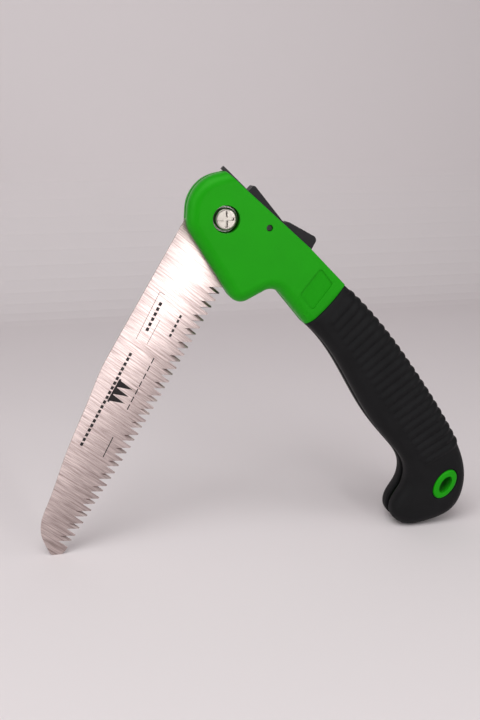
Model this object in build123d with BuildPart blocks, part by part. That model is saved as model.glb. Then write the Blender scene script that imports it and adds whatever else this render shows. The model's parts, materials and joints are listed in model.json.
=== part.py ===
"""Folding pruning saw, in millimetres, +Z up.

The handle is two moulded halves screwed together with a slot between them, in which the
blade folds.  The saw is drawn half open, standing on the nose of its blade and on its
pommel.  X runs from the blade towards the handle, and Y through the thickness, away from
the side that carries the head of the pivot bolt.
"""
import os
from math import cos, radians, sin, tan

from build123d import *

# ---------------------------------------------------------------- driving dimensions
PIVOT_X = -19.66
PIVOT_Z = 186.84
HANDLE_SLOPE = 44.485          # the handle runs down to the right at this angle
BLADE_DIRECTION = 238.715      # the blade's back edge, turned up from +X

SLOT = 3.0                     # gap between the handle halves
HEAD_HALF = 11.0               # handle head, from mid-plane to outer face
HEAD_EDGE = 6.2                # rounding of the head's outer edge
TOP_EDGE = 1.0                 # rounding of its edge beside the lock lever
HEAD_SPARE = 14.0              # height moulded over the top line before it is cut
HEAD_END = 72.5                # where the bare plastic ends and the soft grip begins
SEAM_LOW = -10.9               # lower and upper end of that seam, and how far it bulges
SEAM_HIGH = 19.6
SEAM_BULGE = 1.3
GRIP_HALF = 13.2               # soft grip, from mid-plane to outer face
GRIP_WALL = 3.0                # thickness of the soft grip over the hard core
GRIP_EDGE = 7.4                # rounding of the grip's outer edge
CORE_WALL = 2.6                # wall of the hollow hard core
CORE_HALF = GRIP_HALF - GRIP_WALL
WEB_PITCH = 18.0               # cross webs in the hollow core
WEB_THICK = 2.2
BOSS_R = 4.2                   # boss round each screw and dowel
PANEL_DEPTH = 0.5              # sunk panel on the neck

RIB_COUNT = 22
RIB_R = 2.8
RIB_SUNK = 1.8                 # how deep a rib's axis lies under the grip's surface
RIB_FALL = 0.19                # the line of the ribs' ends drops this much per millimetre

BLADE_THICK = 1.4
TANG_R = 17.4                  # rounded end of the blade about the pivot
TIP_LINE = 18.9                # tooth tips, from the blade's axis through the pivot
TIP_STRAIGHT = 105.0           # the line of the tips is straight this far
TIP_FALL = 0.00034             # and then falls by this, times the distance squared
TOOTH_PITCH = 4.32
TOOTH_HEIGHT = 6.6
GULLET_COUNT = 40
FIRST_GULLET = 35.2
RAKE = 10.0                    # flank that faces the handle, from square to the edge
BACK_RAKE = 26.0               # flank that faces the nose
FLEAM = 40.0                   # gullets are ground at this angle, left and right by turns
GRIND_RISE = 0.8               # and rise by this per millimetre of the blade's thickness
LOCK_NOTCHES = (-94.4, 98.6)   # where on the tang the lock drops in, open and folded
NOTCH_WIDTH = 3.9
NOTCH_DEPTH = 2.6
STOP_FROM = -18.4              # blade stop, along the handle, and its top and underside
STOP_TO = -1.4
STOP_TOP = 19.6
STOP_UNDER = 17.75
STOP_LUG_AT = (-9.0, 17.0)     # lugs that hold it in the halves, and their size
STOP_LUG = (8.0, 3.2)
STOP_LUG_HALF = 4.5

BOLT_R = 3.0
BOLT_HEAD_R = 6.0
BOLT_HEAD_HIGH = 2.6
BOLT_PAST_NUT = 0.6
BOLT_CROSS = (8.4, 1.5)        # length and width of the screwdriver cross
BOLT_CROSS_DEEP = 1.8
BOLT_CROSS_TURN = 46.0
BORE_GAP = 0.1                 # radial clearance of a plain hole round a bolt or screw
WASHER_GAP = 0.15
RECESS_R = 7.3                 # round recess for the bolt's head
RECESS_FLOOR = 5.0             # its floor, from the mid-plane
RECESS_GAP = 0.4               # between the recess and the flat washer
FLAT_WASHER = 1.0
SPRING_WASHER = 1.2
SPRING_WASHER_R = 5.6
NUT_ACROSS = 10.0
NUT_FLOOR = 4.8                # floor of the hexagonal pocket, from the mid-plane
NUT_HIGH = 5.0
BUSH_R = 4.5
THRUST_R = 8.0
THRUST_THICK = (SLOT - BLADE_THICK) / 2 - 0.03
RUNNING = 0.05                 # radial clearance of a part that turns on a pin

LEVER_PIN_AT = (20.0, 12.6)
LEVER_PIN_R = 1.8
LEVER_PIN_HALF = 9.4
LEVER_HALF = 4.8               # lock lever, from mid-plane to side
LEVER_BOSS_R = 4.6
PLATE_HALF = 1.25              # steel catch inside the lever
POCKET_GAP = 0.4               # room beside the lever in its pocket
POCKET_FLOOR = 13.0            # floor under the thumb pad, up from the handle's axis
CATCH_GAP = 0.25               # between the catch and the rim of the tang

SPRING_AT = 40.0               # lever spring, along the handle
SPRING_R = 1.9
SPRING_WIRE_R = 0.25
SPRING_TOP = 20.0
SPRING_TURNS = 5

EYELET_AT = (205.9, -22.6)
EYELET_TILT = 102.0            # its long axis, turned from the handle's own axis
EYELET_HOLE = (5.6, 3.1)
EYELET_RING = (9.8, 6.2)
EYELET_PROUD = 0.4

SCREWS_AT = [(51.6, 13.8), (128.0, 4.0), (187.0, -8.5)]
SCREW_R = 1.5
SCREW_HEAD_R = 2.8
SCREW_HEAD_HIGH = 2.0
SCREW_HEAD_GAP = 0.2
SCREW_CROSS = (3.6, 0.8)
SCREW_CROSS_DEEP = 1.2
SCREW_SEAT = 7.0               # under its head, from the mid-plane
SCREW_TIP = 8.2
DOWELS_AT = [(92.0, 9.5), (160.0, -3.0)]
DOWEL_R = 1.5
DOWEL_HALF = 6.0

# ---------------------------------------------------------------- working planes
# Both planes face the side with the bolt's head, so their own z runs towards -Y.
slope = radians(HANDLE_SLOPE)
turn = radians(BLADE_DIRECTION)
pivot = Vector(PIVOT_X, 0, PIVOT_Z)
handle = Plane(origin=pivot, x_dir=(cos(slope), 0, -sin(slope)), z_dir=(0, -1, 0))
blade_plane = Plane(origin=pivot, x_dir=(cos(turn), 0, sin(turn)), z_dir=(0, -1, 0))
outward = Axis(pivot, (0, -1, 0))

bolt_head_at = RECESS_FLOOR + FLAT_WASHER + SPRING_WASHER
bolt_end = NUT_FLOOR + NUT_HIGH + BOLT_PAST_NUT


# ---------------------------------------------------------------- outlines on the handle
def seam_line():
    """Where the bare plastic meets the soft grip."""
    ThreePointArc((HEAD_END, SEAM_LOW), (HEAD_END + SEAM_BULGE, 4.0), (HEAD_END, SEAM_HIGH))


def head_outline():
    """Bare plastic head before its top is cut: round nose, belly, finger guard and neck."""
    rim = FilletPolyline(
        (HEAD_END, SEAM_HIGH + HEAD_SPARE), (-6.0, SEAM_HIGH + HEAD_SPARE), (-27.6, 1.4),
        (-12.3, -17.0), (36.8, -29.8), (44.5, -7.5), (HEAD_END, SEAM_LOW),
        radius=[9, 20, 14, 7.6, 7.6],
    )
    seam_line()
    Line((HEAD_END, SEAM_HIGH), rim @ 0)


def head_top_outline():
    """What is cut off above the head, along its top line."""
    Polyline(
        (-40, 17.4), (-1.7, 18.4), (44.0, 20.3), (HEAD_END, SEAM_HIGH), (HEAD_END + 9, 19.3),
        (HEAD_END + 9, 50), (-40, 50), close=True,
    )


def grip_outline():
    """Soft grip: waist, palm swell, hooked finger rest and round pommel."""
    Spline(
        (HEAD_END, SEAM_LOW), (101, -13.4), (121, -19.0), (144, -24.9), (167, -27.6),
        (181, -31.0), (189.2, -41.0), (191.6, -51.0), (197.2, -58.0), (206.5, -57.6),
        (216.4, -48.1), (224.3, -29.6), (217.2, -13.0), (196.5, 0.2), (174, 6.5),
        (141, 13.3), (110, 18.0), (HEAD_END, SEAM_HIGH),
    )
    seam_line()


def core_outline():
    """Hard core under the soft grip, a grip wall further in, with its root in the head."""
    core_rim = Spline(
        (HEAD_END - 6, -7.9), (101.6, -10.4), (121.6, -16.0), (144.6, -21.9), (167.4, -24.6),
        (183.0, -28.8), (192.1, -40.2), (194.5, -50.2), (198.3, -55.1), (205.6, -54.6),
        (214.0, -46.3), (221.2, -29.6), (214.8, -14.8), (195.0, -2.5), (173.3, 3.6),
        (140.4, 10.4), (109.8, 15.0), (HEAD_END - 6, 16.8),
    )
    Line(core_rim @ 1, core_rim @ 0)


def eyelet_oval(radii, mode=Mode.ADD):
    """Oval of the lanyard eyelet, in the pommel."""
    with Locations(EYELET_AT):
        Ellipse(*radii, rotation=EYELET_TILT, mode=mode)


def lever_outline():
    """Side view of the lock lever: front catch, waist over the pin, thumb pad."""
    FilletPolyline(
        (-0.4, 18.6), (-0.4, 23.6), (24.9, 20.6), (27.4, 22.8), (45.0, 27.6),
        (46.8, 20.6), (45.4, 18.4), (26.0, 15.2), (14.0, 15.2), (12.5, 18.6),
        radius=[0.4, 1.2, 1.5, 1.2, 2.6, 1.0, 0.6, 0.6, 0.6, 0.8], close=True,
    )


def catch_outline():
    """Steel catch inside the lever: hooked tooth in front, tail under the thumb pad."""
    Polyline(
        (-0.1, 16.5), (3.2, 16.5), (3.4, 19.0), (12.0, 18.9), (16.6, 12.6), (23.4, 12.6),
        (26.0, 16.6), (36.0, 18.3), (36.0, 21.6), (26.5, 19.4), (12.0, 20.8), (-0.1, 22.2),
        close=True,
    )


def cross_shape(length, width, turned=0.0):
    """Cross recess for a screwdriver, seen from above."""
    Rectangle(length, width, rotation=turned)
    Rectangle(width, length, rotation=turned)


# ---------------------------------------------------------------- hard handle halves
# Both halves start as one: a full head, and a thinner hollow core under the soft grip.
with BuildPart() as core:
    with BuildSketch(handle.offset(SLOT / 2)):
        with BuildLine():
            core_outline()
        make_face()
    extrude(amount=CORE_HALF - SLOT / 2)

with BuildPart() as hard_half:
    with BuildSketch(handle.offset(SLOT / 2)):
        with BuildLine():
            head_outline()
        make_face()
    extrude(amount=HEAD_HALF - SLOT / 2)
    rim = hard_half.faces().sort_by(outward)[-1].edges()
    seam_top = handle.from_local_coords((HEAD_END, SEAM_HIGH, HEAD_HALF))
    fillet(rim.sort_by_distance(seam_top)[2:], HEAD_EDGE)
    with BuildSketch(handle):
        with BuildLine():
            head_top_outline()
        make_face()
    extrude(amount=HEAD_HALF, mode=Mode.SUBTRACT)
    top_edge = hard_half.edges().sort_by_distance(handle.from_local_coords((20, 19.3, HEAD_HALF)))
    fillet(top_edge[:1], TOP_EDGE)
    add(core.part)
    # hollows between the cross webs, open towards the slot
    with BuildSketch(handle.offset(SLOT / 2)):
        with BuildLine():
            Polyline(
                (78, 12.2), (110, 11.0), (141, 6.9), (170, 1.2), (182, -1.6), (182, -22.6),
                (167, -20.4), (143, -18.0), (121, -12.3), (99, -6.2), (78, -4.6), close=True,
            )
        make_face()
        with Locations((136.0, 0.0)):
            with GridLocations(WEB_PITCH, 1, 7, 1):
                Rectangle(WEB_THICK, 90, mode=Mode.SUBTRACT)
        with Locations(*SCREWS_AT, *DOWELS_AT):
            Circle(BOSS_R, mode=Mode.SUBTRACT)
    extrude(amount=CORE_HALF - SLOT / 2 - CORE_WALL, mode=Mode.SUBTRACT)
    # the eyelet's ring stands through the soft grip
    with BuildSketch(handle.offset(SLOT / 2)):
        eyelet_oval(EYELET_RING)
    extrude(amount=GRIP_HALF + EYELET_PROUD - SLOT / 2)
    fillet(hard_half.faces().sort_by(outward)[-1].edges(), 1.3)
    with BuildSketch(handle):
        eyelet_oval(EYELET_HOLE)
    extrude(amount=2 * GRIP_HALF, mode=Mode.SUBTRACT)
    # pocket for the lock lever, with room for its boss and its travel
    with BuildSketch(handle):
        with BuildLine():
            Polyline(
                (-1.0, 40), (-1.0, 18.1), (11.6, 18.1), (13.2, POCKET_FLOOR),
                (48.4, POCKET_FLOOR), (48.4, 40), close=True,
            )
        make_face()
        with Locations(LEVER_PIN_AT):
            Circle(LEVER_BOSS_R + POCKET_GAP)
    extrude(amount=LEVER_HALF + POCKET_GAP, mode=Mode.SUBTRACT)
    # holes for the pivot bolt and the lever's pin
    with BuildSketch(handle):
        Circle(BOLT_R + BORE_GAP)
        with Locations(LEVER_PIN_AT):
            Circle(LEVER_PIN_R)
    extrude(amount=HEAD_HALF, mode=Mode.SUBTRACT)
    # socket for the side lug of the blade stop
    with BuildSketch(handle):
        with Locations(STOP_LUG_AT):
            Rectangle(*STOP_LUG)
    extrude(amount=STOP_LUG_HALF, mode=Mode.SUBTRACT)
    # sunk panel with a fine grain on the neck
    with BuildSketch(handle.offset(HEAD_HALF)):
        with BuildLine():
            FilletPolyline(
                (55.6, 16.6), (67.0, 15.2), (69.0, -2.9), (57.2, -1.4), radius=1.6, close=True
            )
        make_face()
    extrude(amount=-PANEL_DEPTH, mode=Mode.SUBTRACT)
    # blind holes for the locating dowels
    with BuildSketch(handle):
        with Locations(*DOWELS_AT):
            Circle(DOWEL_R)
    extrude(amount=DOWEL_HALF, mode=Mode.SUBTRACT)

with BuildPart() as handle_shell_front:
    add(hard_half.part)
    with BuildSketch(handle.offset(RECESS_FLOOR)):
        Circle(RECESS_R)
    extrude(amount=HEAD_HALF, mode=Mode.SUBTRACT)
    with BuildSketch(handle):
        with Locations(*SCREWS_AT):
            Circle(SCREW_R)
    extrude(amount=SCREW_TIP, mode=Mode.SUBTRACT)

with BuildPart() as handle_shell_back:
    mirror(hard_half.part, about=Plane.XZ)
    with BuildSketch(handle.offset(-NUT_FLOOR)):
        RegularPolygon(NUT_ACROSS / 2, 6, major_radius=False, rotation=30)
    extrude(amount=-HEAD_HALF, mode=Mode.SUBTRACT)
    with BuildSketch(handle):
        with Locations(*SCREWS_AT):
            Circle(SCREW_R + BORE_GAP)
    extrude(amount=-SCREW_SEAT, mode=Mode.SUBTRACT)
    with BuildSketch(handle.offset(-SCREW_SEAT)):
        with Locations(*SCREWS_AT):
            Circle(SCREW_HEAD_R + SCREW_HEAD_GAP)
    extrude(amount=-HEAD_HALF, mode=Mode.SUBTRACT)

# ---------------------------------------------------------------- soft grips
# Round ribs cross the back of the grip, square to its contour, and end along a line that
# falls towards the pommel.  The smooth underside is where the fingers lie.
back_contour = Spline((80.6, 19.5), (110, 18.0), (141, 13.3), (174, 6.5), (192.4, 1.6))


def rib_path(share):
    """Centre line of one rib, on the plane that crosses the grip there, from side to back."""
    at = back_contour.position_at(share)
    along = back_contour.tangent_at(share)
    inward = (handle.y_dir * -along.X) + (handle.x_dir * along.Y)
    across = Plane(
        origin=handle.from_local_coords(at),
        x_dir=inward,
        z_dir=(handle.x_dir * -along.X) - (handle.y_dir * along.Y),
    )
    reach = at.Y + RIB_FALL * (at.X - 80.0)
    side = GRIP_HALF - RIB_SUNK
    with BuildLine(across):
        path = FilletPolyline(
            (reach, side), (RIB_SUNK, side), (RIB_SUNK, SLOT / 2), radius=GRIP_EDGE - RIB_SUNK
        )
    return path


with BuildPart() as grip_front:
    with BuildSketch(handle.offset(SLOT / 2)):
        with BuildLine():
            grip_outline()
        make_face()
    extrude(amount=GRIP_HALF - SLOT / 2)
    rim = grip_front.faces().sort_by(outward)[-1].edges().sort_by(SortBy.LENGTH)
    fillet(rim[-1], GRIP_EDGE)
    for rib in range(RIB_COUNT):
        path = rib_path(rib / (RIB_COUNT - 1))
        with BuildSketch(Plane(origin=path @ 0, z_dir=path % 0)):
            Circle(RIB_R)
        sweep(path=path)
        with Locations(path @ 0):
            Sphere(RIB_R)
    add(core.part, mode=Mode.SUBTRACT)
    with BuildSketch(handle):
        eyelet_oval(EYELET_RING)
    extrude(amount=2 * GRIP_HALF, mode=Mode.SUBTRACT)

with BuildPart() as grip_back:
    mirror(grip_front.part, about=Plane.XZ)
    with BuildSketch(handle):
        with Locations(*SCREWS_AT[1:]):
            Circle(SCREW_HEAD_R + SCREW_HEAD_GAP)
    extrude(amount=-2 * GRIP_HALF, mode=Mode.SUBTRACT)

# ---------------------------------------------------------------- between the halves
# The spacer closes the slot along the back and round the pommel, behind the folded teeth.
with BuildPart() as spine_spacer:
    with BuildSketch(handle):
        with BuildLine():
            back = Spline(
                (48.6, 19.5), (HEAD_END, 18.8), (110, 17.1), (141, 12.4), (174, 5.6),
                (196, -0.7), (216.5, -13.6), (223.4, -29.6), (215.8, -47.5),
            )
            end = Line(back @ 1, (211.0, -44.0))
            nose_arc = ThreePointArc(end @ 1, (213.0, -38.0), (211.6, -32.4))
            teeth = Polyline(nose_arc @ 1, (195, -25.8), (48.6, 10.2), (37.8, 11.5))
            Polyline(teeth @ 1, (37.8, POCKET_FLOOR), (48.6, POCKET_FLOOR), back @ 0)
        make_face()
        eyelet_oval(EYELET_HOLE, mode=Mode.SUBTRACT)
        with Locations(*SCREWS_AT):
            Circle(SCREW_R + BORE_GAP, mode=Mode.SUBTRACT)
        with Locations(*DOWELS_AT):
            Circle(DOWEL_R, mode=Mode.SUBTRACT)
    extrude(amount=SLOT / 2, both=True)

with BuildPart() as blade_stop:
    with BuildSketch(handle):
        with BuildLine():
            Polyline(
                (STOP_FROM, STOP_TOP), (STOP_FROM, STOP_UNDER), (STOP_TO, STOP_UNDER),
                (STOP_TO, STOP_TOP), close=True,
            )
        make_face()
    extrude(amount=SLOT / 2, both=True)
    with BuildSketch(handle.offset(SLOT / 2), handle.offset(-STOP_LUG_HALF)):
        with Locations(STOP_LUG_AT):
            Rectangle(*STOP_LUG)
    extrude(amount=STOP_LUG_HALF - SLOT / 2)

with BuildPart() as locating_dowels:
    with BuildSketch(handle):
        with Locations(*DOWELS_AT):
            Circle(DOWEL_R)
    extrude(amount=DOWEL_HALF, both=True)

# ---------------------------------------------------------------- blade
def tip_height(x):
    """Line of the tooth tips: straight at first, then falling gently towards the nose."""
    return TIP_LINE - TIP_FALL * max(0.0, x - TIP_STRAIGHT) ** 2


with BuildPart() as blade:
    with BuildSketch(blade_plane):
        with BuildLine():
            back = Line((0, -TANG_R), (96.0, -TANG_R))
            taper = Spline(
                back @ 1, (120.0, -15.1), (156.5, -10.9), (185.0, -6.2), (197.8, -4.0),
                (204.6, 0.0), (211.3, 8.0), tangents=[(1, 0), (0.65, 0.76)],
            )
            nose = Spline(
                taper @ 1, (212.0, 10.6), (210.2, 13.6), (205.9, 15.8),
                tangents=[(0.65, 0.76), (-1, 0.1)],
            )
            edge = Spline(
                nose @ 1, (180, tip_height(180)), (142, tip_height(142)),
                (TIP_STRAIGHT, TIP_LINE), (70, TIP_LINE), (32.4, TIP_LINE),
            )
            heel = Polyline(edge @ 1, (28.6, 12.2), (26.0, 10.6), (14.3, 10.1))
            ThreePointArc(heel @ 1, (-TANG_R, 0), back @ 0)
        make_face()
        Circle(BUSH_R + RUNNING, mode=Mode.SUBTRACT)
        for notch in LOCK_NOTCHES:
            with PolarLocations(TANG_R, 1, start_angle=notch):
                Rectangle(2 * NOTCH_DEPTH, NOTCH_WIDTH, mode=Mode.SUBTRACT)
    extrude(amount=BLADE_THICK / 2, both=True)
    reach = 2 * TOOTH_HEIGHT       # height of the wedge that cuts a gullet
    for gullet in range(GULLET_COUNT):
        x = FIRST_GULLET + TOOTH_PITCH * gullet
        side = -1 if gullet % 2 else 1
        slant = side * tan(radians(FLEAM))
        rise = -side * GRIND_RISE
        root_x = x - slant * BLADE_THICK
        root_y = tip_height(x) - TOOTH_HEIGHT - rise * BLADE_THICK
        with BuildSketch(blade_plane.offset(-BLADE_THICK)):
            with BuildLine():
                Polyline(
                    (root_x, root_y),
                    (root_x + reach * tan(radians(RAKE)), root_y + reach),
                    (root_x - reach * tan(radians(BACK_RAKE)), root_y + reach),
                    close=True,
                )
            make_face()
        cut_dir = blade_plane.z_dir + blade_plane.x_dir * slant + blade_plane.y_dir * rise
        extrude(amount=2 * BLADE_THICK * cut_dir.length, dir=cut_dir, mode=Mode.SUBTRACT)

# ---------------------------------------------------------------- pivot
with BuildPart() as pivot_bolt:
    with BuildSketch(handle.offset(-bolt_end)):
        Circle(BOLT_R)
    extrude(amount=bolt_head_at + bolt_end)
    chamfer(pivot_bolt.faces().sort_by(outward)[0].edges(), 0.5)
    with BuildSketch(handle.offset(bolt_head_at)):
        Circle(BOLT_HEAD_R)
    extrude(amount=BOLT_HEAD_HIGH)
    fillet(pivot_bolt.faces().sort_by(outward)[-1].edges(), 1.4)
    with BuildSketch(handle.offset(bolt_head_at + BOLT_HEAD_HIGH)):
        cross_shape(*BOLT_CROSS, turned=BOLT_CROSS_TURN)
    extrude(amount=-BOLT_CROSS_DEEP, mode=Mode.SUBTRACT)

with BuildPart() as head_washer:
    with BuildSketch(handle.offset(RECESS_FLOOR)):
        Circle(RECESS_R - RECESS_GAP)
        Circle(BOLT_R + WASHER_GAP, mode=Mode.SUBTRACT)
    extrude(amount=FLAT_WASHER)
    chamfer(head_washer.faces().sort_by(outward)[-1].edges(), 0.2)

with BuildPart() as spring_washer:
    with BuildSketch(handle.offset(RECESS_FLOOR + FLAT_WASHER)):
        Circle(SPRING_WASHER_R)
        Circle(BOLT_R + WASHER_GAP, mode=Mode.SUBTRACT)
        with Locations((4.4, 0)):
            Rectangle(4.0, 0.7, rotation=20, mode=Mode.SUBTRACT)
    extrude(amount=SPRING_WASHER)

with BuildPart() as pivot_nut:
    with BuildSketch(handle.offset(-NUT_FLOOR - NUT_HIGH)):
        RegularPolygon(NUT_ACROSS / 2, 6, major_radius=False, rotation=30)
        Circle(BOLT_R, mode=Mode.SUBTRACT)
    extrude(amount=NUT_HIGH)
    with BuildSketch(handle.offset(-NUT_FLOOR - NUT_HIGH)):
        RegularPolygon(NUT_ACROSS, 6, major_radius=False)
        Circle(NUT_ACROSS / 2 + 0.2, mode=Mode.SUBTRACT)
    extrude(amount=0.9, taper=60, mode=Mode.SUBTRACT)

with BuildPart() as pivot_bushing:
    with BuildSketch(handle):
        Circle(BUSH_R)
        Circle(BOLT_R, mode=Mode.SUBTRACT)
    extrude(amount=SLOT / 2, both=True)

with BuildPart() as thrust_washer_front:
    with BuildSketch(handle.offset(SLOT / 2 - THRUST_THICK)):
        Circle(THRUST_R)
        Circle(BUSH_R + RUNNING, mode=Mode.SUBTRACT)
    extrude(amount=THRUST_THICK)

with BuildPart() as thrust_washer_back:
    mirror(thrust_washer_front.part, about=Plane.XZ)

# ---------------------------------------------------------------- lock
with BuildPart() as lock_catch:
    with BuildSketch(handle):
        with BuildLine():
            catch_outline()
        make_face()
        with Locations(LEVER_PIN_AT):
            Circle(LEVER_PIN_R * 2)
            Circle(LEVER_PIN_R + RUNNING, mode=Mode.SUBTRACT)
        Circle(TANG_R + CATCH_GAP, mode=Mode.SUBTRACT)
    extrude(amount=PLATE_HALF, both=True)

spring_base = Plane(
    origin=handle.from_local_coords(Vector(SPRING_AT, POCKET_FLOOR, 0)),
    x_dir=handle.x_dir,
    z_dir=handle.y_dir,
)

with BuildPart() as lever_cap:
    with BuildSketch(handle):
        with BuildLine():
            lever_outline()
        make_face()
        with Locations(LEVER_PIN_AT):
            Circle(LEVER_BOSS_R)
    extrude(amount=LEVER_HALF, both=True)
    sides = lever_cap.faces().sort_by(outward)
    fillet(sides[0].edges() + sides[-1].edges(), 0.35)
    add(lock_catch.part, mode=Mode.SUBTRACT)
    with BuildSketch(handle):
        with Locations(LEVER_PIN_AT):
            Circle(LEVER_PIN_R + RUNNING)
    extrude(amount=LEVER_HALF, both=True, mode=Mode.SUBTRACT)
    with BuildSketch(spring_base):
        Circle(SPRING_R + 0.8)
    extrude(amount=SPRING_TOP - POCKET_FLOOR, mode=Mode.SUBTRACT)
    # finger grooves across the thumb pad
    with BuildSketch(handle):
        for groove in range(5):
            share = groove / 4
            with Locations((30.5 + 10.5 * share, 23.95 + 2.86 * share)):
                Circle(0.5)
    extrude(amount=LEVER_HALF, both=True, mode=Mode.SUBTRACT)

with BuildPart() as lever_pin:
    with BuildSketch(handle):
        with Locations(LEVER_PIN_AT):
            Circle(LEVER_PIN_R)
    extrude(amount=LEVER_PIN_HALF, both=True)
    chamfer(lever_pin.faces().filter_by(Axis.Y).edges(), 0.3)

with BuildPart() as lever_spring:
    spring_high = SPRING_TOP - POCKET_FLOOR - 2 * SPRING_WIRE_R
    coil_plane = spring_base.offset(SPRING_WIRE_R)
    coil = Helix(spring_high / SPRING_TURNS, spring_high, SPRING_R)
    path = coil_plane.location * coil
    with BuildSketch(Plane(origin=path @ 0, z_dir=path % 0)):
        Circle(SPRING_WIRE_R)
    sweep(path=path, is_frenet=True)

# ---------------------------------------------------------------- shell screws
with BuildPart() as shell_screws:
    with BuildSketch(handle.offset(-SCREW_SEAT)):
        with Locations(*SCREWS_AT):
            Circle(SCREW_R)
    extrude(amount=SCREW_SEAT + SCREW_TIP)
    with BuildSketch(handle.offset(-SCREW_SEAT)):
        with Locations(*SCREWS_AT):
            Circle(SCREW_HEAD_R)
    extrude(amount=-SCREW_HEAD_HIGH)
    with BuildSketch(handle.offset(-SCREW_SEAT - SCREW_HEAD_HIGH)):
        with Locations(*SCREWS_AT):
            cross_shape(*SCREW_CROSS)
    extrude(amount=SCREW_CROSS_DEEP, mode=Mode.SUBTRACT)

# ---------------------------------------------------------------- write the pieces
pieces = {
    "handle_shell_front": handle_shell_front,
    "handle_shell_back": handle_shell_back,
    "grip_front": grip_front,
    "grip_back": grip_back,
    "spine_spacer": spine_spacer,
    "blade_stop": blade_stop,
    "locating_dowels": locating_dowels,
    "shell_screws": shell_screws,
    "blade": blade,
    "pivot_bolt": pivot_bolt,
    "pivot_nut": pivot_nut,
    "pivot_bushing": pivot_bushing,
    "head_washer": head_washer,
    "spring_washer": spring_washer,
    "thrust_washer_front": thrust_washer_front,
    "thrust_washer_back": thrust_washer_back,
    "lock_catch": lock_catch,
    "lever_cap": lever_cap,
    "lever_pin": lever_pin,
    "lever_spring": lever_spring,
}
os.makedirs("parts", exist_ok=True)
for name, piece in pieces.items():
    piece.part.label = name
    export_step(piece.part, f"parts/{name}.step")
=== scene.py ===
# %% [markdown]
# # Folding pruning saw
# The imported model already holds every rigid piece of the saw in its real place.  This file
# adds what the eye wants: finishes, printed marks, a lever spring and the soft feel of the grip.

# %% Load the frame
import json
from math import cos, pi, radians, sin, tau

import bmesh
import bpy
from mathutils import Matrix, Vector


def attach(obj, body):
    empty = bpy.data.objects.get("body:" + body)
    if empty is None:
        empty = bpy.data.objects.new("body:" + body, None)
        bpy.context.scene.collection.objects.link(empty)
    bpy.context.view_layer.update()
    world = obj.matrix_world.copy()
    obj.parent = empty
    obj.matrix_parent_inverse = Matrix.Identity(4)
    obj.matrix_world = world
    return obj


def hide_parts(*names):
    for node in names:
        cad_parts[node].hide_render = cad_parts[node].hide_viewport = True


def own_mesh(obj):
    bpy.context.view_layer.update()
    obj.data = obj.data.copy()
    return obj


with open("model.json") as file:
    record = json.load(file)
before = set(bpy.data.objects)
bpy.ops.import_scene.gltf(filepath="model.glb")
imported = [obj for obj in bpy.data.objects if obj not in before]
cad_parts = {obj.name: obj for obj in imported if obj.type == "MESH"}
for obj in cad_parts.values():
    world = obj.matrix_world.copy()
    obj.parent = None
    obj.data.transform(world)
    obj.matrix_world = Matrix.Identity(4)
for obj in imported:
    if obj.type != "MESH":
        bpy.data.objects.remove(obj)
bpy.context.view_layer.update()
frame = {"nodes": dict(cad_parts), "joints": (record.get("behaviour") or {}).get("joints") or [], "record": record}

nodes = frame["nodes"]
joints = {joint["name"]: joint for joint in frame["joints"]}
MM = 0.001
print("pieces in the frame:", len(nodes))

# %% [markdown]
# The handle and the blade both turn about the pivot bolt, so the easiest places to work
# from are two sets of axes through it: one along the handle, one along the blade's back.

# %% Axes of the handle and of the blade
PIVOT = Vector(joints["blade_pivot"]["pos_m"])
HANDLE_TURN = radians(-44.485)
BLADE_TURN = radians(238.715)
GROOVE_LEAN = radians(-8.0)    # the steel's grooves lean this much from square to the blade


def axes_at(turn):
    """Matrix whose x runs at that turn from +X towards +Z, and whose z faces the bolt head."""
    along = Vector((cos(turn), 0, sin(turn)))
    up = Vector((-sin(turn), 0, cos(turn)))
    out = Vector((0, -1, 0))
    grid = Matrix((along, up, out)).transposed().to_4x4()
    grid.translation = PIVOT
    return grid


HANDLE = axes_at(HANDLE_TURN)
BLADE = axes_at(BLADE_TURN)
print("pivot at", [round(v, 4) for v in PIVOT])

# %% [markdown]
# The camera stands a little to the blade's side and looks slightly down, close enough for
# the nearer blade to look larger than the handle.  The plain view transform keeps the
# colours as they are set, because the default one fades strong colours.

# %% Camera
CAMERA_AWAY = 0.4482
CAMERA_SIDE = radians(-11.5)
CAMERA_RISE = radians(15.0)
CAMERA_LENS = 40
CAMERA_SENSOR = 36
CAMERA_ROLL = Matrix.Rotation(radians(0.485), 3, "Y")
target = PIVOT + CAMERA_ROLL @ Vector((9.31, 0, -78.87)) * MM
back = CAMERA_ROLL @ Vector(
    (
        sin(CAMERA_SIDE) * cos(CAMERA_RISE),
        -cos(CAMERA_SIDE) * cos(CAMERA_RISE),
        sin(CAMERA_RISE),
    )
)
camera_data = bpy.data.cameras.new("camera")
camera_data.lens = CAMERA_LENS
camera_data.sensor_width = CAMERA_SENSOR
camera_data.clip_start = 0.01
camera = bpy.data.objects.new("camera", camera_data)
camera.location = target + back * CAMERA_AWAY
camera.rotation_mode = "QUATERNION"
level = (CAMERA_ROLL.inverted() @ -back).to_track_quat("-Z", "Y")
camera.rotation_quaternion = CAMERA_ROLL.to_quaternion() @ level
bpy.context.scene.collection.objects.link(camera)
bpy.context.scene.camera = camera
bpy.context.scene.view_settings.view_transform = "Standard"
print("camera at", [round(v, 3) for v in camera.location])

# %% [markdown]
# A pale floor bends up into a pale wall well behind the saw.  The blade is a brushed
# mirror, so what it shows matters as much as what lights it: a long narrow lamp in front,
# square to the grooves, gives its white streak.

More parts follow.
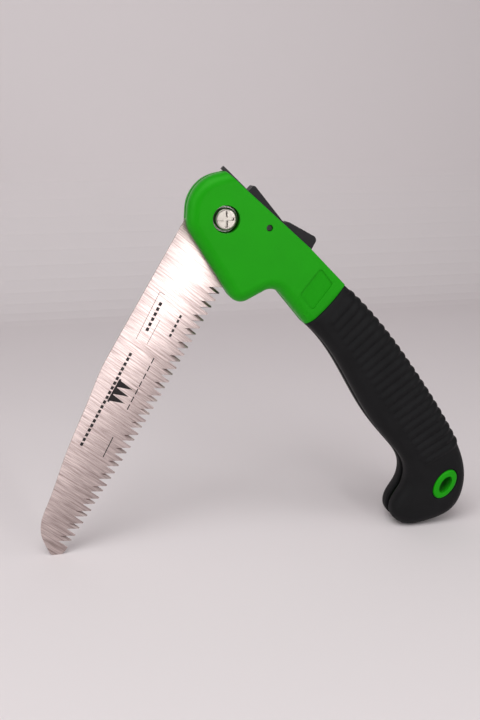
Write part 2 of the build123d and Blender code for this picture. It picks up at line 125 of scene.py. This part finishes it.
# %% Stage and lamps
def add_lamp(name, place, aim, size, watts, long_way=None, length=None):
    """Soft lamp at a place, aimed at another; long_way is the direction of its length."""
    data = bpy.data.lights.new(name, "AREA")
    data.size = size
    data.energy = watts
    lamp = bpy.data.objects.new(name, data)
    lamp.location = place
    lamp.rotation_mode = "QUATERNION"
    out = (Vector(place) - Vector(aim)).normalized()
    lamp.rotation_quaternion = (-out).to_track_quat("-Z", "Y")
    if long_way is not None:
        data.shape = "RECTANGLE"
        data.size_y = length
        along = (long_way - out * long_way.dot(out)).normalized()
        grid = Matrix((along.cross(out), along, out)).transposed()
        lamp.rotation_quaternion = grid.to_quaternion()
    bpy.context.scene.collection.objects.link(lamp)
    print(name, "watts:", watts)


PAPER_ROUGHNESS = 0.8


def plain_material(name, colour, roughness):
    """One even finish, for the stage only."""
    finish = bpy.data.materials.new(name)
    finish.use_nodes = True
    shader = finish.node_tree.nodes["Principled BSDF"]
    shader.inputs["Base Color"].default_value = (*colour, 1)
    shader.inputs["Roughness"].default_value = roughness
    return finish


def add_sheet(name, lines, colour):
    """Sheet through straight lines across it, each a pair of points."""
    grid = bmesh.new()
    edge = grid.edges.new([grid.verts.new(point) for point in lines[0]])
    for line in lines[1:]:
        pulled = bmesh.ops.extrude_edge_only(grid, edges=[edge])["geom"]
        ends = [item for item in pulled if isinstance(item, bmesh.types.BMVert)]
        for end in ends:
            end.co = line[0] if end.co.x < 0 else line[1]
        edge = next(item for item in pulled if isinstance(item, bmesh.types.BMEdge))
    bmesh.ops.recalc_face_normals(grid, faces=grid.faces)
    mesh = bpy.data.meshes.new(name)
    grid.to_mesh(mesh)
    grid.free()
    sheet = bpy.data.objects.new(name, mesh)
    bpy.context.scene.collection.objects.link(sheet)
    mesh.materials.append(plain_material(name, colour, PAPER_ROUGHNESS))
    print(name, "faces:", len(mesh.polygons))


FLOOR_HALF = 3                 # half the floor's width, and how far it runs to the front
FLOOR_END = 0.62               # behind the saw, where the floor starts to bend
BEND = 0.2                     # radius of the bend
BEND_STEPS = 12
WALL_TOP = 2.5
PAPER = (0.80, 0.75, 0.76)
floor_lines = [(-FLOOR_HALF, 0.0)]
for step in range(BEND_STEPS + 1):
    angle = pi / 2 * step / BEND_STEPS
    floor_lines.append((FLOOR_END + BEND * sin(angle), BEND * (1 - cos(angle))))
floor_lines.append((FLOOR_END + BEND, WALL_TOP))
add_sheet(
    "floor_and_wall",
    [((-FLOOR_HALF, y, z), (FLOOR_HALF, y, z)) for y, z in floor_lines], PAPER,
)

STREAK_TURN = BLADE_TURN + GROOVE_LEAN
STREAK_WAY = Vector((cos(STREAK_TURN), 0, sin(STREAK_TURN)))
STREAK_AT = Vector((-0.108, -0.9, -0.225)) - STREAK_WAY * 0.70
STREAK_AIM = BLADE @ Vector((0.08, -0.005, 0))
SAW_MIDDLE = (0, 0, 0.1)
add_lamp("streak_lamp", STREAK_AT, STREAK_AIM, 0.045, 2.0, long_way=STREAK_WAY, length=0.68)
add_lamp("lamp_top", (-0.25, -0.45, 0.95), SAW_MIDDLE, 0.8, 6.0)
add_lamp("lamp_left", (-1.0, -0.45, 0.5), SAW_MIDDLE, 0.7, 2.8)
add_lamp("lamp_right", (1.0, -0.5, 0.7), SAW_MIDDLE, 0.7, 1.6)
world = bpy.data.worlds.new("world")
bpy.context.scene.world = world
world.use_nodes = True
sky = world.node_tree.nodes["Background"]
sky.inputs["Color"].default_value = (1, 0.96, 0.965, 1)
sky.inputs["Strength"].default_value = 0.26

# %% [markdown]
# Shader maths reads best as plain sums.  A small wrapper round a socket lets `a * b + c`
# build the Math nodes, and one method makes every other kind of node.

# %% Writing shaders as sums
class Link:
    """A socket whose sums make Math nodes."""

    def __init__(self, paint, socket):
        self.paint = paint
        self.socket = socket

    def _sum(self, operation, *values):
        return self.paint.node("ShaderNodeMath", {"operation": operation}, list(values))

    def __add__(self, other):
        return self._sum("ADD", self, other)

    def __radd__(self, other):
        return self._sum("ADD", other, self)

    def __sub__(self, other):
        return self._sum("SUBTRACT", self, other)

    def __rsub__(self, other):
        return self._sum("SUBTRACT", other, self)

    def __mul__(self, other):
        return self._sum("MULTIPLY", self, other)

    def __rmul__(self, other):
        return self._sum("MULTIPLY", other, self)


class Paint:
    """A material under construction."""

    def __init__(self, name, **fixed):
        self.material = bpy.data.materials.new(name)
        self.material.use_nodes = True
        self.tree = self.material.node_tree
        self.shader = self.tree.nodes["Principled BSDF"]
        for socket, value in fixed.items():
            self.shader.inputs[socket.replace("_", " ")].default_value = value

    def node(self, kind, settings=None, values=None, out=0):
        """Adds a node: its settings first, then its sockets by place or by name."""
        made = self.tree.nodes.new(kind)
        for key, value in (settings or {}).items():
            setattr(made, key, value)
        pairs = values.items() if isinstance(values, dict) else enumerate(values or [])
        for key, value in pairs:
            if isinstance(value, Link):
                self.tree.links.new(value.socket, made.inputs[key])
            else:
                made.inputs[key].default_value = value
        return Link(self, made.outputs[out])

    def place(self, turn=None, scale=(1, 1, 1)):
        """Object coordinates, or those of the handle or the blade, in metres, scaled."""
        spot = self.node("ShaderNodeTexCoord", out="Object")
        if turn is not None:
            spot = self.node("ShaderNodeVectorMath", {"operation": "SUBTRACT"}, [spot, PIVOT])
            spot = self.node("ShaderNodeMapping", {}, {"Vector": spot, "Rotation": (0, turn, 0)})
        return self.node("ShaderNodeVectorMath", {"operation": "MULTIPLY"}, [spot, scale])

    def split(self, vector):
        """The three numbers of a vector."""
        first = self.node("ShaderNodeSeparateXYZ", {}, [vector])
        return [Link(self, output) for output in first.socket.node.outputs]

    def noise(self, vector, scale, detail, rough=0.5):
        """Smooth noise from 0 to 1."""
        return self.node(
            "ShaderNodeTexNoise", {},
            {"Vector": vector, "Scale": scale, "Detail": detail, "Roughness": rough},
        )

    def mix(self, share, first, second):
        """Mix of two colours by a share."""
        return self.node(
            "ShaderNodeMix", {"data_type": "RGBA"},
            {0: share, 6: (*first, 1), 7: (*second, 1)}, out=2,
        )

    def step(self, value, low, high):
        """0 below low, 1 above high, and smooth between."""
        return self.node(
            "ShaderNodeMapRange", {"interpolation_type": "SMOOTHSTEP"},
            {"Value": value, "From Min": low, "From Max": high},
        )

    def feed(self, socket, value):
        """Links a value to the shader itself."""
        self.tree.links.new(value.socket, self.shader.inputs[socket])

    def bump(self, height, distance, strength):
        """Turns a height into the shader's normal; the distance is in metres."""
        self.feed(
            "Normal",
            self.node(
                "ShaderNodeBump", {},
                {"Strength": strength, "Distance": distance, "Height": height},
            ),
        )


print("shader sums ready")

# %% [markdown]
# ## Green plastic
# The hard halves are moulded in polypropylene with a fine spark-eroded grain.  Its colour
# is even, and the grain only breaks up the highlight, so it goes into the bump.

# %% Green plastic
GREEN = (0.010, 0.335, 0.004)
DEEP_GREEN = (0.007, 0.27, 0.003)
GREEN_SHINE = (0.35, 1.0, 0.25, 1.0)
PANEL_X = (55.8, 67.4)         # panel on the neck, along and across the handle
PANEL_Y = (-3.4, 16.2)
PANEL_LEAN = 0.09
PANEL_MIDDLE = 7.0
PANEL_SOFT = 1.0               # width of its soft edge


def within(paint, value, limits):
    """1 between the two limits, with soft edges."""
    low, high = limits
    above = paint.step(value, low, low + PANEL_SOFT)
    return above * (1 - paint.step(value, high, high + PANEL_SOFT))


def green_plastic():
    """Even green with a fine grain, which is coarser inside the panel."""
    paint = Paint("green_plastic", Specular_IOR_Level=0.35, Specular_Tint=GREEN_SHINE)
    spot = paint.place()
    cloud = paint.noise(spot, 60, 3)
    grain = paint.noise(spot, 1500, 2)
    along, _, across = paint.split(paint.place(HANDLE_TURN, (1 / MM, 1 / MM, 1 / MM)))
    leaning = along + (across - PANEL_MIDDLE) * PANEL_LEAN
    panel = within(paint, leaning, PANEL_X) * within(paint, across, PANEL_Y)
    paint.feed("Base Color", paint.mix(cloud, DEEP_GREEN, GREEN))
    paint.feed("Roughness", 0.36 + cloud * 0.08 + panel * 0.2)
    paint.bump(grain, 0.00006, 0.25 + panel * 0.75)
    return paint.material


GREEN_PLASTIC = green_plastic()
print("green plastic:", len(GREEN_PLASTIC.node_tree.nodes), "nodes")

# %% [markdown]
# ## Black rubber and black plastic
# The soft grip is a thermoplastic rubber: nearly black, dull, with a dry bloom on the high
# places.  The lever and the spacer are a harder, slightly shinier plastic.

# %% Black rubber and black plastic
def black_finish(name, low, high, rough, grain_size, shine):
    """Dull black between two tones, with a fine grain."""
    paint = Paint(name, Specular_IOR_Level=shine)
    spot = paint.place()
    cloud = paint.noise(spot, 90, 4)
    grain = paint.noise(spot, grain_size, 2)
    paint.feed("Base Color", paint.mix(cloud, low, high))
    paint.feed("Roughness", rough - 0.05 + cloud * 0.10)
    paint.bump(grain, 0.00003, 0.6)
    return paint.material


BLACK_RUBBER = black_finish(
    "black_rubber", (0.003, 0.003, 0.0035), (0.010, 0.010, 0.011), 0.55, 3000, 0.14
)
BLACK_PLASTIC = black_finish(
    "black_plastic", (0.004, 0.003, 0.005), (0.010, 0.008, 0.012), 0.42, 2500, 0.25
)
print("black finishes:", BLACK_RUBBER.name, BLACK_PLASTIC.name)

# %% [markdown]
# ## Steel
# The blade is ground across its length, so fine lines run nearly square to the back edge.
# A ground mirror spreads what it reflects square to its grooves, which is what the
# anisotropic finish does.  Other metal is plainer.

# %% Blade steel
STEEL_DARK = (0.22, 0.165, 0.155)
STEEL_PALE = (0.70, 0.59, 0.57)
FINE_GROOVES = (7000, 1, 120)  # grooves per metre across them, and along them
WIDE_GROOVES = (1100, 1, 40)


def blade_steel():
    """Ground steel with fine and wide grooves."""
    paint = Paint(
        "blade_steel", Metallic=1.0, Anisotropic=1.0,
        Anisotropic_Rotation=(STREAK_TURN - pi) / tau,
    )
    fine = paint.place(STREAK_TURN, FINE_GROOVES)
    wide = paint.place(STREAK_TURN, WIDE_GROOVES)
    lines = paint.noise(fine, 1.0, 3, 0.6)
    bands = paint.noise(wide, 1.0, 3, 0.6)
    tone = lines * 0.5 + bands * 0.5
    paint.feed("Base Color", paint.mix(paint.step(tone, 0.3, 0.7), STEEL_DARK, STEEL_PALE))
    paint.feed("Roughness", 0.25 + tone * 0.08)
    paint.bump(tone, 0.000008, 0.3)
    return paint.material


def plain_metal(name, colour, rough):
    """Metal with faint clouds."""
    paint = Paint(name, Metallic=1.0)
    spot = paint.place()
    cloud = paint.noise(spot, 700, 4)
    dark = [channel * 0.8 for channel in colour]
    paint.feed("Base Color", paint.mix(cloud, dark, colour))
    paint.feed("Roughness", rough - 0.06 + cloud * 0.12)
    paint.bump(cloud, 0.00001, 0.4)
    return paint.material


BLADE_STEEL = blade_steel()
PLAIN_STEEL = plain_metal("plain_steel", (0.34, 0.33, 0.31), 0.36)
DARK_STEEL = plain_metal("dark_steel", (0.05, 0.05, 0.05), 0.45)
BRIGHT_ZINC = plain_metal("bright_zinc", (0.42, 0.39, 0.35), 0.30)
BRASS = plain_metal("brass", (0.72, 0.50, 0.20), 0.3)
print("groove lean in degrees:", round(GROOVE_LEAN * 360 / tau, 1))

# %% [markdown]
# The record names each piece's material slot, so the finishes go on by that name.

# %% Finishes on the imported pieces
FINISHES = {
    "green_plastic": GREEN_PLASTIC,
    "black_rubber": BLACK_RUBBER,
    "black_plastic": BLACK_PLASTIC,
    "blade_steel": BLADE_STEEL,
    "dark_steel": DARK_STEEL,
    "plain_steel": PLAIN_STEEL,
    "bright_zinc": BRIGHT_ZINC,
    "brass": BRASS,
}
for part in frame["record"]["subparts"]:
    piece = nodes[part["node"]]
    piece.data.materials.clear()
    piece.data.materials.append(FINISHES[part["material_slot"]])
print("finishes:", len(FINISHES))

# %% [markdown]
# ## Soft grips
# Moulded rubber has no sharp inner corners.  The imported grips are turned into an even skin
# and relaxed a little, so that the ribs flow into the side.

# %% Soft grips
SKIN_GRAIN = 0.0007
RELAX_ROUNDS = 6
WELD_WITHIN = 0.00001


def soften(name):
    """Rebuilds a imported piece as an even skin, relaxes it and returns its face count."""
    piece = nodes[name]
    weld = piece.modifiers.new("weld", "WELD")
    weld.merge_threshold = WELD_WITHIN
    skin = piece.modifiers.new("skin", "REMESH")
    skin.mode = "VOXEL"
    skin.voxel_size = SKIN_GRAIN
    skin.use_smooth_shade = True
    relax = piece.modifiers.new("relax", "SMOOTH")
    relax.factor = 0.5
    relax.iterations = RELAX_ROUNDS
    shown = piece.evaluated_get(bpy.context.evaluated_depsgraph_get())
    return len(shown.data.polygons)


for grip in ("grip_front", "grip_back"):
    print(grip, "faces:", soften(grip))

# %% [markdown]
# ## Printed marks
# Plain bars, lines and a sign with three teeth are pad-printed on the steel in black.  Each
# lies 0.02 mm over it.

# %% Printed marks
INK_AT = 0.00072               # from the blade's mid-plane
TOOTH_PITCH = 4.4              # of the printed sign


def ink_black():
    """Printing ink, slightly uneven."""
    paint = Paint("printing_ink", Specular_IOR_Level=0.3)
    spread = paint.noise(paint.place(), 1800, 3)
    paint.feed("Base Color", paint.mix(spread, (0.006, 0.005, 0.006), (0.022, 0.018, 0.018)))
    paint.feed("Roughness", 0.5 + spread * 0.2)
    return paint.material


def bar(start, end, width):
    """Corners of a straight bar between two points on the blade, in millimetres."""
    start, end = Vector(start), Vector(end)
    along = (end - start).normalized()
    aside = Vector((-along.y, along.x)) * (width / 2)
    return [start - aside, end - aside, end + aside, start + aside]


def bars(start, end, width, count, gap):
    """A row of bars from start to end, with gaps that are a share of the pitch."""
    start, end = Vector(start), Vector(end)
    pitch = (end - start) / count
    return [
        bar(start + pitch * i, start + pitch * (i + 1 - gap), width) for i in range(count)
    ]


def add_print(name, shapes, ink):
    """Flat printed shapes on the side of the blade with the bolt's head."""
    grid = bmesh.new()
    for shape in shapes:
        corners = [BLADE @ Vector((x * MM, y * MM, INK_AT)) for x, y in shape]
        face = grid.faces.new([grid.verts.new(corner) for corner in corners])
        face.normal_update()
        if face.normal.y > 0:
            face.normal_flip()
    mesh = bpy.data.meshes.new(name)
    grid.to_mesh(mesh)
    grid.free()
    mesh.materials.append(ink)
    piece = bpy.data.objects.new(name, mesh)
    bpy.context.scene.collection.objects.link(piece)
    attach(piece, "blade")
    print(name, "shapes:", len(shapes))


INK = ink_black()
frame_lines = [
    bar((50.9, -10.0), (79.5, -8.7), 0.25),
    bar((50.9, -10.0), (51.0, -6.8), 0.25),
    bar((64.2, -2.4), (79.2, -2.1), 0.25),
]
tooth_starts = [104.0 + TOOTH_PITCH * i for i in range(3)]
sign = [[(x, -4.6), (x + 4.0, -4.8), (x + 1.6, 3.6)] for x in tooth_starts]
sign.append(bar((103.2, -5.2), (117.6, -5.2), 1.2))
add_print("print_frame_lines", frame_lines, INK)
add_print("print_short_bars", bars((55.5, -6.6), (74.0, -5.8), 1.7, 6, 0.34), INK)
add_print("print_size_bars", bars((56.5, 6.4), (71.0, 6.8), 1.3, 5, 0.4), INK)
add_print("print_long_bars", bars((87.6, -7.3), (147.7, -6.2), 1.6, 20, 0.34), INK)
add_print("print_cut_line", bars((84.3, 5.1), (118.4, 6.4), 0.6, 7, 0.3), INK)
add_print("print_end_line", [bar((134.4, 7.1), (147.3, 7.8), 0.5)], INK)
add_print("print_tooth_sign", sign, INK)

# %% [markdown]
# ## Lever spring
# A small coil of spring wire stands on the pocket's floor and lifts the lever's thumb pad.
# A ring as thick as the wire, turned about the coil's axis and lifted a little at each step,
# makes it.

# %% Lever spring
SPRING_AT = 40.0               # along the handle, and up from its axis, in millimetres
SPRING_FLOOR = 13.0
SPRING_TOP = 20.0
SPRING_R = 1.65
WIRE_R = 0.25
TURNS = 5
STEPS = 24 * TURNS


def add_spring():
    """The coil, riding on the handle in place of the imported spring."""
    grid = bmesh.new()
    ring = bmesh.ops.create_circle(grid, segments=10, radius=WIRE_R * MM)["verts"]
    foot = Vector((SPRING_AT, SPRING_FLOOR + WIRE_R, 0))
    for vert in ring:
        vert.co = HANDLE @ ((foot + Vector((SPRING_R, 0, 0))) * MM + vert.co)
    rise = (SPRING_TOP - SPRING_FLOOR - 2 * WIRE_R) / STEPS
    up = HANDLE.to_3x3() @ Vector((0, 1, 0))
    bmesh.ops.spin(
        grid, geom=grid.verts[:] + grid.edges[:], cent=HANDLE @ (foot * MM), axis=up,
        dvec=up * rise * MM, angle=tau * TURNS, steps=STEPS, use_merge=False,
    )
    bmesh.ops.recalc_face_normals(grid, faces=grid.faces)
    mesh = bpy.data.meshes.new("lever_spring_coil")
    grid.to_mesh(mesh)
    grid.free()
    for face in mesh.polygons:
        face.use_smooth = True
    mesh.materials.append(PLAIN_STEEL)
    coil = bpy.data.objects.new("lever_spring_coil", mesh)
    bpy.context.scene.collection.objects.link(coil)
    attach(coil, "handle")
    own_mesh(coil)
    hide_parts("lever_spring")
    return coil


spring = add_spring()
print("spring faces:", len(spring.data.polygons))
